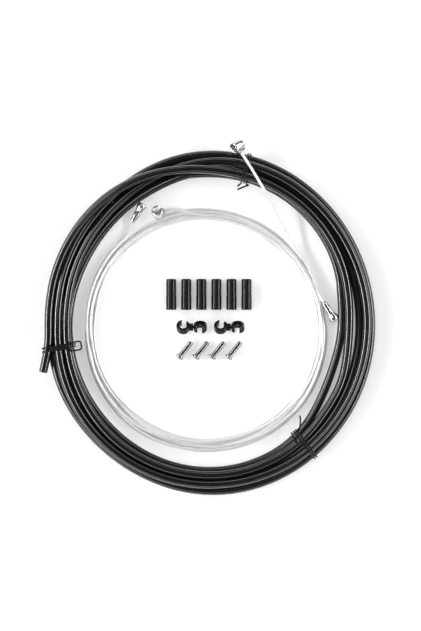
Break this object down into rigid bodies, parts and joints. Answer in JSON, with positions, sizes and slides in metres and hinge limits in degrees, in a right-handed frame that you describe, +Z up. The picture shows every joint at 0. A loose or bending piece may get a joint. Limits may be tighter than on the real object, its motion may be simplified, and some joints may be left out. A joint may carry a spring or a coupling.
{
  "type": "bicycle brake cable",
  "caption": "Coiled black brake cable housing tied in a ring, with two double-ended inner wires coiled inside it and its ferrules, swivel clips and crimp caps.",
  "frame": {"origin": "middle of the footprint, on the surface that the set lies on", "axes": "+Z up from that surface, +X to the right and +Y away as the set is seen from above, with the ferrules in a row along X"},
  "size_m": [0.1906, 0.2028, 0.0174],
  "materials": {
    "housing_jacket": "extruded black jacket, semi-gloss, with the steel winding faintly showing through",
    "tie_coating": "plastic coating over soft wire, satin",
    "wire_steel": "bright stranded steel",
    "head_zinc": "bright die-cast zinc",
    "ferrule_plastic": "moulded black plastic, satin",
    "clip_plastic": "moulded black plastic, gloss",
    "crimp_metal": "bright drawn aluminium"
  },
  "bodies": {
    "root": {"housing_coil": "housing_jacket", "housing_loose_turn": "housing_jacket", "housing_free_end": "housing_jacket", "tie_left": "tie_coating", "tie_top": "tie_coating", "tie_right": "tie_coating", "front_wire_coil": "wire_steel", "rear_wire_coil": "wire_steel", "front_barrel_lead": "wire_steel", "rear_barrel_lead": "wire_steel", "front_pear_lead": "wire_steel", "rear_pear_lead": "wire_steel", "front_barrel_head": "head_zinc", "rear_barrel_head": "head_zinc", "front_pear_head": "head_zinc", "rear_pear_head": "head_zinc", "ferrule_1": "ferrule_plastic", "ferrule_2": "ferrule_plastic", "ferrule_3": "ferrule_plastic", "ferrule_4": "ferrule_plastic", "ferrule_5": "ferrule_plastic", "ferrule_6": "ferrule_plastic", "clip_1_socket_hook": "clip_plastic", "clip_2_socket_hook": "clip_plastic", "crimp_cap_1": "crimp_metal", "crimp_cap_2": "crimp_metal", "crimp_cap_3": "crimp_metal", "crimp_cap_4": "crimp_metal"},
    "clip_1_pin": {"clip_1_pin_hook": "clip_plastic"},
    "clip_2_pin": {"clip_2_pin_hook": "clip_plastic"}
  },
  "joints": [
    {"name": "clip_1_swivel", "type": "hinge", "parent": "root", "child": "clip_1_pin", "pos_m": [-0.00784, -0.00543, 0.00407], "axis": [1, 0, 0], "continuous": true},
    {"name": "clip_2_swivel", "type": "hinge", "parent": "root", "child": "clip_2_pin", "pos_m": [0.01356, -0.00543, 0.00407], "axis": [1, 0, 0], "continuous": true}
  ]
}
